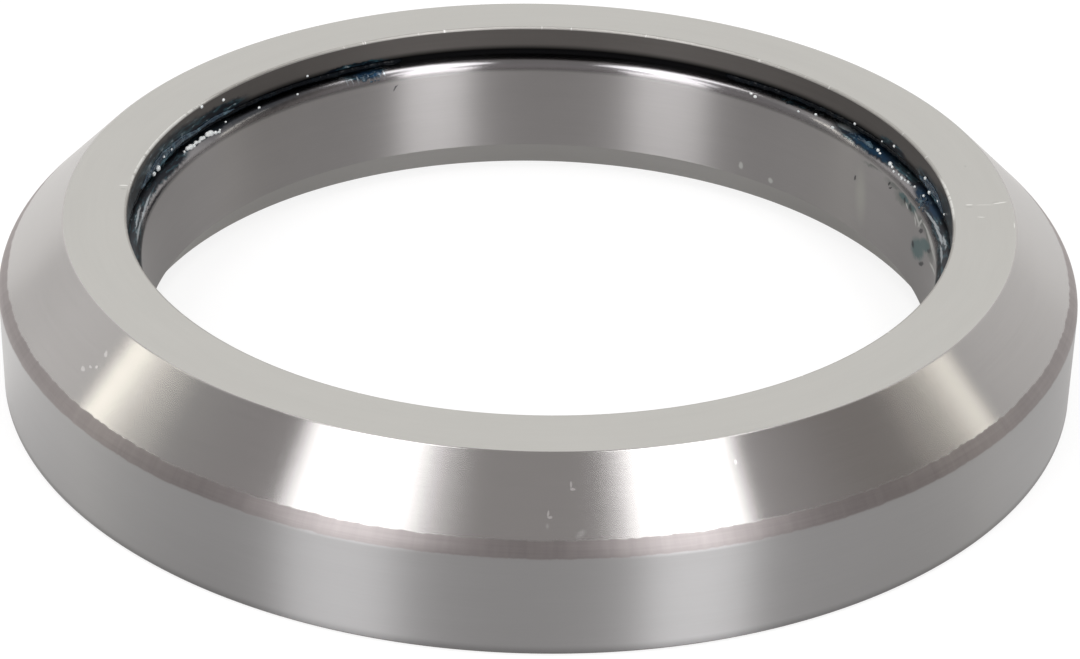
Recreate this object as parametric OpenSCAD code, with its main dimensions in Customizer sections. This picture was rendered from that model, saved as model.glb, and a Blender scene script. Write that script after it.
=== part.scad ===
// Sealed angular contact cartridge bearing for a bicycle headset.
// The Z axis is the bore's axis and Z = 0 is the base, on which both rings rest.
// The outer ring's 45 degree seat faces up and the inner ring's 36 degree seat opens downwards.
// Every section is drawn once, with its radius along X and its height along Y, and revolved.

/* [Boundary dimensions] */
// Diameter of the bore
bore_d = 30.2; // [25:0.1:52]
// Radial width of the section, from the bore to the outside
section_w = 5.4; // [4.8:0.1:6.5]
// Height over both ring faces
height = 6.5; // [5.8:0.1:8]

/* [Seats] */
// Angle of the outer ring's seat, measured from the axis
outer_seat_angle = 45; // [36:1:50]
// Height of the outer ring's seat, down to its sharp corner with the outside
outer_seat_h = 2.5; // [1.5:0.1:2.8]
// Radius of the unground blend between the outside and the outer seat
seat_blend_r = 0.6; // [0.3:0.05:0.8]
// Angle of the inner ring's seat, measured from the axis
inner_seat_angle = 36; // [30:1:45]
// Height of the inner ring's seat in the mouth of the bore
inner_seat_h = 1.25; // [0.8:0.05:1.4]

/* [Rings] */
// How far the hole in the outer ring's lip stands back from the bore
lip_setback = 0.5; // [0.3:0.05:0.6]
// Open gap between the lip and the rim of the inner ring
rim_gap = 0.35; // [0.25:0.01:0.5]
// Radius of the rounded rim at the top of the bore
rim_round_r = 0.5; // [0.2:0.05:0.6]
// How far the land for the seal steps in from the inner ring's wall
land_step = 0.26; // [0.1:0.02:0.3]
// Chamfer that breaks every sharp ring edge
edge_break = 0.1; // [0.05:0.01:0.15]

/* [Balls and raceways] */
// Diameter of one ball
ball_d = 3.175; // [2.9:0.005:3.3]
// Share of the pitch circle that the balls take up
ball_fill = 0.74; // [0.5:0.01:0.76]
// Angle of the contact line from the plane of the balls
contact_angle = 45; // [35:1:50]
// Radius of a raceway as a share of the ball's diameter
race_conformity = 0.52; // [0.515:0.005:0.53]
// Running clearance between a ball and each raceway
race_clearance = 0.02; // [0.01:0.005:0.04]
// How far the rings' walls close in over the equator of the balls
ball_snap = 0.03; // [0.01:0.005:0.035]
// Width of the shoulder beyond the bottom of each raceway
shoulder_w = 0.45; // [0.3:0.05:0.6]

/* [Cage] */
// Clearance between a ball and its pocket
pocket_clearance = 0.045; // [0.03:0.005:0.08]
// How far the cage's webs lie inside the surface of the balls
web_inset = 0.14; // [0.08:0.01:0.25]
// Height of the claws above the centres of the balls
claw_h = 0.75; // [0.5:0.05:0.9]
// Width of the slot that parts each pair of claws
claw_slot_w = 0.45; // [0.2:0.05:0.5]
// Depth of the slot that parts each pair of claws
claw_slot_h = 0.9; // [0.4:0.05:1.2]
// Clearance between the cage and the rings
cage_clearance = 0.1; // [0.05:0.01:0.15]

/* [Seals] */
// Thickness of a seal
seal_t = 0.38; // [0.3:0.02:0.4]
// Depth of the groove that a seal's bead snaps into
seal_groove = 0.33; // [0.2:0.01:0.4]
// Height of the lower seal above the base
lower_seal_z = 0.35; // [0.25:0.05:0.4]
// Clearance between the balls and the upper seal
seal_ball_gap = 0.26; // [0.1:0.02:0.4]
// Clearance of a seal in its groove
seal_fit = 0.01; // [0.005:0.005:0.02]
// Gap between a seal's lip and the inner ring
seal_lip_gap = 0.05; // [0.03:0.01:0.08]
// How far the upper seal's lip hangs below the seal
seal_lip_drop = 0.25; // [0.1:0.05:0.3]
// Thickness of the upper seal's lip
seal_lip_t = 0.22; // [0.15:0.01:0.3]

/* [Hidden] */
$fn = 72;
SMALL = 0.01;
bore_r = bore_d / 2;
outer_r = bore_r + section_w;
ball_r = ball_d / 2;
pitch_r = bore_r + section_w / 2;
ball_z = height / 2;
ball_count = floor(ball_fill * 2 * PI * pitch_r / ball_d);
// Both raceways are arcs whose centres lie on the contact line, one on each side of the ball's centre
race_r = race_conformity * ball_d;
race_shift = race_r - ball_r - race_clearance;
race_dx = race_shift * cos(contact_angle);
race_dz = race_shift * sin(contact_angle);
outer_race = [pitch_r - race_dx, ball_z - race_dz];
inner_race = [pitch_r + race_dx, ball_z + race_dz];
// Outer ring
seat_corner_z = height - outer_seat_h;
top_face_r = outer_r - outer_seat_h * tan(outer_seat_angle);
blend_leg = seat_blend_r * tan(outer_seat_angle / 2);
lip_r = bore_r + lip_setback;
lip_z = ball_z + ball_r + seal_ball_gap + seal_t + 2 * seal_fit;
skirt_r = outer_race.x + race_r - ball_snap;
upper_shoulder_r = outer_race.x - shoulder_w;
upper_groove_z = lip_z - seal_t - 2 * seal_fit;
upper_groove_r = upper_shoulder_r + seal_groove;
lower_groove_z = lower_seal_z + seal_t + 2 * seal_fit;
lower_groove_r = skirt_r + seal_groove;
// Inner ring
rim_z = lip_z - rim_gap;
seat_mouth_r = bore_r + inner_seat_h * tan(inner_seat_angle);
wall_r = inner_race.x - race_r + ball_snap;
rim_outer_r = wall_r - land_step;
flange_r = inner_race.x + shoulder_w;
land_z = rim_z - seal_lip_drop - land_step;
// Cage
pocket_r = ball_r + pocket_clearance;
web_r = ball_r - web_inset;
cage_rim_inner_r = flange_r + cage_clearance;
cage_rim_outer_r = skirt_r - cage_clearance;
cage_rim_z = lower_groove_z + 2 * cage_clearance;
claw_z = ball_z + claw_h;

function two_digits(i) = str(i < 10 ? "0" : "", i);
function ball_name(i) = str("ball_", two_digits(i));
BALLS = [for (i = [1 : ball_count]) ball_name(i)];

// Section of the outer ring before its inside is turned out, with the blend as a true arc
module outer_blank() {
    polygon([
        [lip_r, height - edge_break],
        [lip_r, edge_break],
        [lip_r + edge_break, 0],
        [outer_r - edge_break, 0],
        [outer_r, edge_break],
        [outer_r, seat_corner_z - blend_leg],
        [outer_r - blend_leg * sin(outer_seat_angle), seat_corner_z + blend_leg * cos(outer_seat_angle)],
        [top_face_r, height],
        [lip_r + edge_break, height]
    ]);
    translate([outer_r - seat_blend_r, seat_corner_z - blend_leg]) circle(r = seat_blend_r);
}

// Everything that is turned out of the outer ring: skirt, raceway, seal grooves
module outer_hollow() {
    translate([0, -SMALL]) square([skirt_r, ball_z + SMALL]);
    translate(outer_race) circle(r = race_r);
    translate([0, ball_z - SMALL]) square([upper_shoulder_r, lip_z - ball_z + SMALL]);
    translate([0, upper_groove_z]) square([upper_groove_r, lip_z - upper_groove_z]);
    translate([0, lower_seal_z]) square([lower_groove_r, lower_groove_z - lower_seal_z]);
    polygon([
        [skirt_r - SMALL, -SMALL],
        [skirt_r + edge_break + SMALL, -SMALL],
        [skirt_r - SMALL, edge_break + SMALL]
    ]);
}

module outer_ring() {
    color("silver")
        rotate_extrude()
            difference() {
                outer_blank();
                outer_hollow();
            }
}

// Section of the inner ring with its raceway still solid and its rim still square
module inner_blank() {
    polygon([
        [bore_r, inner_seat_h],
        [seat_mouth_r, 0],
        [flange_r - edge_break, 0],
        [flange_r, edge_break],
        [flange_r, ball_z],
        [wall_r, ball_z],
        [wall_r, land_z],
        [rim_outer_r, land_z + land_step],
        [rim_outer_r, rim_z - edge_break],
        [rim_outer_r - edge_break, rim_z],
        [bore_r + rim_round_r, rim_z],
        [bore_r + rim_round_r, rim_z - rim_round_r],
        [bore_r, rim_z - rim_round_r]
    ]);
    translate([bore_r + rim_round_r, rim_z - rim_round_r])
        intersection() {
            circle(r = rim_round_r);
            translate([-rim_round_r, -rim_round_r]) square([rim_round_r + SMALL, 2 * rim_round_r]);
        }
}

module inner_ring() {
    color("gainsboro")
        rotate_extrude()
            difference() {
                inner_blank();
                translate(inner_race) circle(r = race_r);
            }
}

// Section of the cage: webs round the centre line of the balls, on a rim in the free lower corner
module cage_section() {
    intersection() {
        union() {
            translate([pitch_r, ball_z]) circle(r = web_r);
            translate([cage_rim_inner_r, cage_rim_z])
                square([cage_rim_outer_r - cage_rim_inner_r, ball_z - cage_rim_z]);
        }
        translate([0, cage_rim_z]) square([outer_r, claw_z - cage_rim_z]);
    }
}

module cage() {
    color("darkolivegreen")
        difference() {
            rotate_extrude() cage_section();
            for (i = [0 : ball_count - 1])
                rotate([0, 0, i * 360 / ball_count])
                    translate([pitch_r, 0, ball_z])
                        sphere(r = pocket_r);
            for (i = [0 : ball_count - 1])
                rotate([0, 0, (i + 0.5) * 360 / ball_count])
                    translate([bore_r, -claw_slot_w / 2, claw_z - claw_slot_h])
                        cube([outer_r - bore_r, claw_slot_w, claw_slot_h + 1]);
        }
}

// The upper seal snaps in under the lip, and its own lip hangs down beside the inner ring's rim
module upper_seal() {
    seal_z = upper_groove_z + seal_fit;
    tip_r = rim_outer_r + seal_lip_gap;
    tip_z = rim_z - seal_lip_drop;
    color("black")
        rotate_extrude()
            polygon([
                [tip_r, tip_z],
                [tip_r + seal_lip_t, tip_z],
                [tip_r + seal_lip_t + seal_lip_drop, seal_z],
                [upper_groove_r - seal_fit, seal_z],
                [upper_groove_r - seal_fit, seal_z + seal_t],
                [tip_r + seal_lip_t, seal_z + seal_t],
                [tip_r, seal_z]
            ]);
}

module lower_seal() {
    inner_edge_r = flange_r + seal_lip_gap;
    color("black")
        rotate_extrude()
            translate([inner_edge_r, lower_seal_z + seal_fit])
                square([lower_groove_r - seal_fit - inner_edge_r, seal_t]);
}

module ball(i) {
    color("lightsteelblue")
        rotate([0, 0, (i - 1) * 360 / ball_count])
            translate([pitch_r, 0, ball_z])
                sphere(d = ball_d);
}

outer_ring();
inner_ring();
cage();
upper_seal();
lower_seal();
for (i = [1 : ball_count])
    ball(i);
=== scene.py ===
# A sealed headset bearing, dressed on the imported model.
# Lengths are in millimetres unless a comment says metres, and every mesh is built in metres.
# Azimuths are in degrees. Azimuth 0 faces the camera along -Y, and they grow towards +X.
import math
import random

import bmesh
import bpy
import numpy as np
from mathutils import Euler, Matrix, Vector


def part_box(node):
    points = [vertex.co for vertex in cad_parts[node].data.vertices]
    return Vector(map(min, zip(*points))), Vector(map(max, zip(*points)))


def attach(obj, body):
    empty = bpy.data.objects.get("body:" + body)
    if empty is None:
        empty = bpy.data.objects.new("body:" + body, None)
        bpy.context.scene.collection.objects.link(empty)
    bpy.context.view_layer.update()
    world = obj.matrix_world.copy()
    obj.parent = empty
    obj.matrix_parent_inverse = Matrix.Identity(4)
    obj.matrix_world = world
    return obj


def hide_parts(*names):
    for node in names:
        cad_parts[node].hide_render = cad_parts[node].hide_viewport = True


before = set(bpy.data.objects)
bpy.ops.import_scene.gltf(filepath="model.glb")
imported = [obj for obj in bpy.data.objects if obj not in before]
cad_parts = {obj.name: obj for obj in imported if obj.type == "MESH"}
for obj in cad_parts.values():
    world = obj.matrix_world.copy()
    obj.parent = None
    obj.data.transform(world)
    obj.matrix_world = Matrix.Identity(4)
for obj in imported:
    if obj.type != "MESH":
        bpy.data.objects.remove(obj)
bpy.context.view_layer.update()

MM = 0.001

# Sizes of the rings, as in the part's source
OUTER_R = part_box("outer_ring")[1].x / MM
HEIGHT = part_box("outer_ring")[1].z / MM
BORE_R = 15.1
BALL_R = 3.175 / 2
BALL_Z = HEIGHT / 2
PITCH_R = (OUTER_R + BORE_R) / 2
EDGE = 0.1
FINE_EDGE = 0.04

# Outer ring: its 45 degree seat, its lip and its seal grooves
SEAT_H = 2.5
HALF_SEAT_ANGLE = math.radians(22.5)
TOP_R = OUTER_R - SEAT_H
BLEND_R = 0.6
LIP_SETBACK = 0.5
LIP_R = BORE_R + LIP_SETBACK
SEAL_GROOVE = 0.33
SEAL_SLOT = 0.4
LOWER_GROOVE_Z = 0.35
SEAL_BALL_GAP = 0.26
LIP_Z = BALL_Z + BALL_R + SEAL_BALL_GAP + SEAL_SLOT

# Inner ring: its rim, the step under the rim and the seat in its mouth
RIM_GAP = 0.35
RIM_Z = LIP_Z - RIM_GAP
RIM_ROUND_R = 0.5
LAND_STEP = 0.26
LAND_DROP = 0.25
INNER_SEAT_H = 1.25
INNER_SEAT_ANGLE = math.radians(36)

# Raceways: arcs with a radius of 0.52 of a ball's diameter, moved apart along the 45 degree contact line
CONFORMITY = 0.52
BALL_SNAP = 0.03
SHOULDER_W = 0.45
RACE_CLEARANCE = 0.02
RACE_R = CONFORMITY * 2 * BALL_R
RACE_SHIFT = (RACE_R - BALL_R - RACE_CLEARANCE) * math.sqrt(0.5)
SKIRT_R = PITCH_R - RACE_SHIFT + RACE_R - BALL_SNAP
SHOULDER_R = PITCH_R - RACE_SHIFT - SHOULDER_W
WALL_R = PITCH_R + RACE_SHIFT - RACE_R + BALL_SNAP
FLANGE_R = PITCH_R + RACE_SHIFT + SHOULDER_W

# Steps of a revolved mesh round the axis
TURNS = 360

# Colours of the steel
SEAT_COLOUR = (0.52, 0.505, 0.50)
BAND_COLOUR = (0.42, 0.385, 0.385)
SIDE_COLOUR = (0.50, 0.495, 0.50)
FOOT_COLOUR = (0.34, 0.335, 0.34)
FACE_COLOUR = (0.565, 0.56, 0.54)
EDGE_COLOUR = (0.45, 0.44, 0.42)
LIP_COLOUR = (0.172, 0.161, 0.154)
BORE_COLOUR = (0.48, 0.465, 0.465)
RIM_COLOUR = (0.31, 0.30, 0.31)
INNER_SEAT_COLOUR = (0.48, 0.47, 0.46)
BLANK_COLOUR = (0.22, 0.20, 0.19)
RACE_COLOUR = (0.55, 0.55, 0.55)
BALL_BRIGHT = (0.76, 0.76, 0.76, 1)
BALL_HAZED = (0.62, 0.62, 0.60, 1)

# Colours of the moulded pieces
CAGE_COLOUR = (0.16, 0.17, 0.15)
SEAL_COLOUR = (0.008, 0.008, 0.009)

# Roughness of the steel
SEAT_ROUGH = 0.2
BAND_ROUGH = 0.48
SIDE_ROUGH = 0.36
FACE_ROUGH = 0.55
EDGE_ROUGH = 0.5
LIP_ROUGH = 0.5
BORE_ROUGH = 0.36
RIM_ROUGH = 0.15
FILM_ROUGH = 0.3

# Noise drawn out round the axis: its scales per radian and per millimetre
GROUND_LINES = (5.0, 14.0)
TURNED_LINES = (5.0, 9.0)
BROAD_TONES = (3.0, 1.3)
RIM_TONES = (6.0, 0.6)
BAND_TEETH = (60.0, 0.4)
BAND_WAVES = (9.0, 0.2)
EDGE_SPECKS = (70.0, 0.5)
FILM_STREAKS = (22.0, 7.0)
FLOW_MARKS = (8.0, 2.0)

# Even noise: its scale per metre, its detail and its roughness
FILM_CURDS = (2600.0, 3.0, 0.6)
GREASE_CURDS = (2200.0, 4.0, 0.65)
GREASE_GLOSS = (9000.0, 2.0, 0.5)
BALL_HAZE = (900.0, 3.0, 0.6)
BALL_POLISH = (8000.0, 2.0, 0.5)

# Values of noise between which steel turns bright and grease turns to another tone
SPECK_RISE = (0.64, 0.70)
GLINT_RISE = (0.30, 0.50)
TEAL_RISE = (0.45, 0.65)
GREY_RISE = (0.335, 0.43)
NAVY_RISE = (0.40, 0.60)
PALE_RISE = (0.45, 0.72)

# Depth of the relief in the steel, and how much noise varies the tone of its plain parts
RELIEF = 0.004
MOTTLE = 0.06

# The unground band on the outside and the darker foot: heights, and how far noise moves the band's edges
BAND_LOW = 3.87
BAND_TOP = 4.37
BAND_SOFT = 0.03
BAND_RAGGED = 0.12
BAND_WANDER = 0.10
FOOT_LOW = 0.08
FOOT_TOP = 0.42

# Heights between which the lip turns from black, a painted shade at the gap, to its own tone, and the bore's
# tone turns into the rim's
LIP_FADE = (LIP_Z - 0.04, LIP_Z + 0.27)
RIM_FADE = (RIM_Z - RIM_ROUND_R, RIM_Z - 0.15)

# Painted shade: a darker line where the bore turns into the rim, standing in for a dark reflection there.
# Its height, half width, strength and colour
RIM_SHADE_LINE_Z = 4.80
RIM_SHADE_LINE_HALF = 0.15
RIM_SHADE_LINE_SHARE = 0.38
RIM_SHADE_LINE_COLOUR = (0.06, 0.055, 0.055, 1)

# Colours of nicks, scratches, streaks and stains, and of painted highlights and painted shade
NICK_BRIGHT = (0.9, 0.88, 0.88, 1)
SCUFF_BRIGHT = (0.8, 0.8, 0.8, 1)
SCRATCH_BRIGHT = (0.92, 0.92, 0.90, 1)
EDGE_GLINT_BRIGHT = (0.74, 0.74, 0.72, 1)
FACE_SHADOW_AND_SPOT_GREY = (0.42, 0.42, 0.40, 1)
BORE_HIGHLIGHT_PALE = (0.62, 0.63, 0.58, 1)
STREAK_PALE = (0.80, 0.81, 0.79, 1)
STAIN_GREEN = (0.12, 0.23, 0.24, 1)
STAIN_DULL = (0.16, 0.19, 0.17, 1)
SPECK_DARK = (0.05, 0.05, 0.06, 1)
RIM_SHADE_AND_PATCH_DARK = (0.022, 0.027, 0.036, 1)
LIP_SHADE_BLACK = (0.004, 0.004, 0.004, 1)

# How far noise tears the edges of a mark, and the scale of that noise per metre
TEAR = 0.05
TEAR_SCALE = 4000

# Half a mark's depth, and how much deeper a long one on a wall is, because the wall curves away from it
MARK_DEPTH = 0.3
MARK_CURVE = 0.1

# Tones of the grease that lies in films
FILM_DARK = (0.004, 0.007, 0.014, 1)
FILM_TEAL = (0.034, 0.086, 0.110, 1)
FILM_GREY = (0.33, 0.39, 0.43, 1)
FILM_BLUE = (0.012, 0.040, 0.085, 1)
FILM_PALE = (0.45, 0.49, 0.52, 1)

# Tones of the grease that lies in heaps, dark and light
GREASE_BLACK = ((0.002, 0.003, 0.005, 1), (0.004, 0.008, 0.012, 1))
GREASE_NAVY = ((0.012, 0.035, 0.055, 1), (0.07, 0.13, 0.16, 1))
GREASE_TEAL = ((0.010, 0.028, 0.05, 1), (0.08, 0.14, 0.18, 1))
# Pale grease, whose whiteness also paints the sparkle of light on wet curds and beads, a painted highlight
GREASE_PALE_SPARKLE = ((0.68, 0.72, 0.73, 1), (0.93, 0.94, 0.94, 1))

# Grease in the gap: its centre line and the limits that keep it clear of the inner ring
GAP_R = (LIP_R + WALL_R - LAND_STEP) / 2
GAP_Z = (LIP_Z + RIM_Z) / 2
GAP_FLOOR_Z = RIM_Z + 0.03
GAP_INNER_R = LIP_R - 0.04
SMEAR_FLOOR_Z = LIP_Z - 0.12
SMEAR_INNER_R = LIP_R - 0.11

# The radius that keeps the rest out of the bore, the finest lumps of melted grease, and the seed
BORE_CLEAR_R = BORE_R + 0.005
GREASE_GRAIN = 0.03
GREASE_SEED = 5

# Blobs in the gap: size along, deep and tall, spread outwards and upwards, and how much sizes vary
GAP_BLOB = (0.34, 0.17, 0.15)
GAP_SPREAD = (0.02, 0.02)
GAP_VARY = 0.1

# Where grease lies. Trails are (start, end, count) and smears (centre, half width, count, rise)
GAP_TRAILS = {"grease_gap_left": (-157, -86, 170), "grease_gap_right": (87, 150, 150)}
LIP_SMEARS = [(-108.5, 9.5, 210, 0.30), (-121, 5, 40, 0.10), (101.5, 5.0, 120, 0.32)]

# Clumps on the rim, each (centre, half width, count, lowest angle on the rim's round)
RIM_CLUMPS = [(-151.5, 3.0, 40, 20), (103, 3.5, 60, 20), (122, 5.5, 50, 62)]

# Single curds and beads of grease, each (azimuth, radius, height, size)
RIM_CURDS = [
    (-114.3, 15.46, 5.13, 0.11), (-115.0, 15.43, 5.12, 0.14), (-115.7, 15.40, 5.10, 0.10),
    (-116.6, 15.44, 5.13, 0.10), (-117.3, 15.40, 5.11, 0.08), (-118.1, 15.45, 5.13, 0.11),
    (-118.6, 15.42, 5.12, 0.09), (-119.7, 15.44, 5.13, 0.13), (-120.3, 15.41, 5.12, 0.15),
    (-121.2, 15.33, 5.08, 0.09), (-121.9, 15.29, 5.05, 0.07)]
RIM_BEADS = [
    (-113.3, 15.44, 5.13, 0.06), (-122.3, 15.34, 5.08, 0.05), (-124.5, 15.51, 5.15, 0.05),
    (-131.5, 15.42, 5.12, 0.06), (-139.0, 15.36, 5.09, 0.05), (144.7, 15.24, 5.00, 0.07),
    (145.6, 15.30, 5.05, 0.06), (136.5, 15.28, 5.03, 0.05), (133.5, 15.44, 5.13, 0.06),
    (129.2, 15.27, 5.03, 0.07), (119.0, 15.44, 5.13, 0.08), (118.2, 15.40, 5.10, 0.06),
    (114.8, 15.33, 5.07, 0.10), (114.0, 15.30, 5.04, 0.07), (113.0, 15.23, 4.98, 0.06),
    (111.6, 15.27, 5.02, 0.05), (110.5, 15.25, 5.00, 0.08), (109.6, 15.28, 5.03, 0.05),
    (108.7, 15.31, 5.05, 0.07), (106.8, 15.37, 5.09, 0.06), (103.6, 15.42, 5.12, 0.07)]
LIP_BEADS = [
    (-119.3, 15.59, 6.38, 0.07), (-122.5, 15.59, 5.52, 0.05), (-104.9, 15.50, 5.46, 0.12),
    (-103.2, 15.50, 5.44, 0.09), (-107.5, 15.54, 5.62, 0.06), (-110.2, 15.55, 5.60, 0.05),
    (-141.5, 15.59, 5.64, 0.05), (-124.5, 15.59, 6.12, 0.07), (125.7, 15.60, 5.50, 0.06),
    (115.7, 15.59, 5.70, 0.06), (104.7, 15.54, 5.74, 0.07), (102.2, 15.50, 5.46, 0.08),
    (98.5, 15.55, 5.60, 0.05), (94.5, 15.57, 5.60, 0.05), (119.0, 15.60, 5.50, 0.04)]

# What the camera meets, and the tints of the studio's light
WHITE = (1, 1, 1, 1)
PLAIN = (1.0, 0.985, 0.965)
MAUVE = (1.0, 0.95, 0.95)
BROWN = (1.0, 0.93, 0.88)

# Light of the studio's walls and floor, each (azimuth, level, tint). Behind the bearing both are white
WALLS = [
    (-180, 1.0, PLAIN), (-150, 1.0, PLAIN), (-143, 0.90, PLAIN), (-136, 0.72, PLAIN), (-122, 0.82, PLAIN),
    (-112, 0.80, PLAIN), (-100, 0.62, PLAIN), (-90, 0.38, PLAIN), (-72, 0.38, MAUVE), (0, 0.42, MAUVE),
    (66, 0.38, MAUVE), (78, 0.28, BROWN), (90, 0.24, BROWN), (100, 0.36, BROWN), (107, 0.54, PLAIN),
    (114, 0.68, PLAIN), (138, 0.78, PLAIN), (150, 0.92, PLAIN), (180, 1.0, PLAIN)]
FLOOR = [
    (-180, 1.0, PLAIN), (-110, 1.0, PLAIN), (-96, 1.3, PLAIN), (-86, 1.3, PLAIN), (-76, 0.85, PLAIN),
    (-60, 0.70, PLAIN), (-34, 0.50, PLAIN), (0, 0.52, PLAIN), (30, 0.60, PLAIN), (50, 0.62, PLAIN),
    (66, 0.75, PLAIN), (84, 0.72, PLAIN), (120, 0.85, PLAIN), (150, 1.0, PLAIN), (180, 1.0, PLAIN)]

# The ceiling, and the upward parts of a direction between which the walls turn into it
CEILING = (0.40, 0.39, 0.38, 1)
CEILING_RISE = (0.75, 0.9)

# The floor: half its width in metres, its shade to light and to the camera, its glow and the glow's share
FLOOR_HALF = 2.5
FLOOR_DULL = (0.48, 0.48, 0.48, 1)
FLOOR_PALE = (0.95, 0.95, 0.95, 1)
FLOOR_GLOW = 1.06
GLOW_SHARE = 0.75

# What is left of the floor's reflected light inside the bore
BORE_SHADE = 0.45

# Distance of the softboxes in metres, and their tints
LAMP_DISTANCE = 2.0
NEUTRAL = (1, 1, 1)
WARM = (1.0, 0.97, 0.84)

# Softboxes, each (azimuth, elevation, width, height, radiance, tint), with angles seen from the bearing
LAMPS = {
    "softbox_left_high": (-50.6, 55, 16.8, 26, 3.3, NEUTRAL),
    "softbox_left_low": (-38, 23, 22.4, 36, 3.0, NEUTRAL),
    "softbox_left_top": (-88, 73.5, 36, 13.5, 3.1, NEUTRAL),
    "softbox_right_high": (43.2, 55, 15, 26, 3.3, NEUTRAL),
    "softbox_right_low": (32.3, 23, 20, 36, 3.6, NEUTRAL),
    "softbox_right_top": (86, 73.5, 36, 13.5, 3.1, NEUTRAL),
    "strip_left": (-104.2, 32, 3.8, 26, 3.3, WARM),
    "strip_right": (106, 32, 3.8, 26, 2.25, WARM)}

# The photograph's camera, with its distance in outer radii and its offsets in pixels
PHOTO_W = 1080
PHOTO_H = 659
CAMERA_ELEVATION = math.radians(30.25)
CAMERA_DISTANCE = 6.34
CAMERA_ROLL = math.radians(1.18)
FOCAL_PIXELS = 3339
AIM_PIXEL = (537.2, 348.0)
SENSOR_W = 36


def ring_point(radius, height, azimuth):
    """A point in metres at a radius, a height and an azimuth."""
    turn = math.radians(azimuth)
    return Vector((radius * math.sin(turn), -radius * math.cos(turn), height)) * MM


def turned(vector, axis, angle):
    """The vector turned about an axis."""
    return Matrix.Rotation(angle, 3, axis) @ vector


def add_camera():
    """The photograph's camera. AIM_PIXEL is where the middle of the base lies in the frame."""
    level, dip = math.cos(CAMERA_ELEVATION), math.sin(CAMERA_ELEVATION)
    right, ahead, up = Vector((1, 0, 0)), Vector((0, level, -dip)), Vector((0, dip, level))
    place = -ahead * CAMERA_DISTANCE * OUTER_R * MM
    right, up = turned(right, ahead, -CAMERA_ROLL), turned(up, ahead, -CAMERA_ROLL)
    pan = math.atan2(AIM_PIXEL[0] - PHOTO_W / 2, FOCAL_PIXELS)
    tilt = math.atan2(AIM_PIXEL[1] - PHOTO_H / 2, FOCAL_PIXELS)
    ahead, right = turned(ahead, up, pan), turned(right, up, pan)
    ahead, up = turned(ahead, right, tilt), turned(up, right, tilt)
    lens = bpy.data.cameras.new("camera")
    lens.sensor_width = SENSOR_W
    lens.lens = SENSOR_W * FOCAL_PIXELS / PHOTO_W
    lens.clip_start = 0.001
    lens.clip_end = 10
    camera = bpy.data.objects.new("camera", lens)
    bpy.context.scene.collection.objects.link(camera)
    axes = Matrix((right, up, -ahead)).transposed()
    camera.matrix_world = Matrix.Translation(place) @ axes.to_4x4()
    bpy.context.scene.camera = camera


def node(tree, kind, values=None, **settings):
    """Adds a node, and sets or links the inputs that values names."""
    made = tree.nodes.new(kind)
    for key, value in settings.items():
        setattr(made, key, value)
    for key, value in (values or {}).items():
        if isinstance(value, bpy.types.NodeSocket):
            tree.links.new(value, made.inputs[key])
        else:
            made.inputs[key].default_value = value
    return made


def calc(tree, operation, a, b=0.0, c=0.0):
    """The result of one math step on numbers or sockets."""
    return node(tree, "ShaderNodeMath", {0: a, 1: b, 2: c}, operation=operation).outputs[0]


def scaled(tree, vector, factor):
    """A vector or a colour times a number."""
    return node(tree, "ShaderNodeVectorMath", {0: vector, 3: factor}, operation="SCALE").outputs[0]


def length(tree, vector):
    """The length of a vector."""
    return node(tree, "ShaderNodeVectorMath", {0: vector}, operation="LENGTH").outputs[1]


def step_between(tree, value, low, high):
    """0 below low and 1 above high, with a smooth rise between them."""
    values = {0: value, 1: low, 2: high}
    return node(tree, "ShaderNodeMapRange", values, interpolation_type="SMOOTHSTEP").outputs[0]


def mixed(tree, share, first, second):
    """Two colours mixed by a share."""
    return node(tree, "ShaderNodeMix", {0: share, 6: first, 7: second}, data_type="RGBA").outputs[2]


def blended(tree, share, first, second):
    """Two numbers mixed by a share."""
    return node(tree, "ShaderNodeMix", {0: share, 2: first, 3: second}, data_type="FLOAT").outputs[0]


def varied(tree, value, texture, amount):
    """A number that a texture moves up and down, by half the amount at most."""
    return calc(tree, "MULTIPLY_ADD", calc(tree, "SUBTRACT", texture, 0.5), amount, value)


def own_place(tree):
    """A socket for the place on the piece, in metres."""
    return node(tree, "ShaderNodeTexCoord").outputs["Object"]


def noise(tree, vector, scale, detail, roughness):
    """One noise texture."""
    values = {"Vector": vector, "Scale": scale, "Detail": detail, "Roughness": roughness}
    return node(tree, "ShaderNodeTexNoise", values).outputs["Fac"]


def torn(tree, place, amount):
    """A place shifted by noise, up to an amount, so that the edges of marks come out ragged."""
    tear = node(tree, "ShaderNodeTexNoise", {"Vector": place, "Scale": TEAR_SCALE}).outputs["Color"]
    halves = (0.5, 0.5, 0.5)
    centred = node(tree, "ShaderNodeVectorMath", {0: tear, 1: halves}, operation="SUBTRACT").outputs[0]
    shift = scaled(tree, centred, 2 * amount * MM)
    return node(tree, "ShaderNodeVectorMath", {0: place, 1: shift}, operation="ADD").outputs[0]


def marked(tree, marks, tear, soft):
    """1 inside any of the marks and 0 outside them. soft is the share of a mark over which it fades."""
    place = own_place(tree)
    if tear:
        place = torn(tree, place, tear)
    share = 0.0
    for azimuth, radius, height, size, lean in marks:
        turn = Euler((math.radians(lean[0]), math.radians(lean[1]), math.radians(lean[2] + azimuth)))
        values = {0: place, 1: ring_point(radius, height, azimuth), 2: turn, 3: Vector(size) * MM}
        local = node(tree, "ShaderNodeMapping", values, vector_type="TEXTURE").outputs[0]
        outside = step_between(tree, length(tree, local), 1 - soft, 1.0)
        share = calc(tree, "MAXIMUM", share, calc(tree, "SUBTRACT", 1.0, outside))
    return share


def overlaid(tree, base, marks, tear, soft, strength, colour):
    """A base colour with marks of another colour laid over it, at some strength."""
    share = calc(tree, "MULTIPLY", marked(tree, marks, tear, soft), strength)
    return mixed(tree, share, base, colour)


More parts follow.
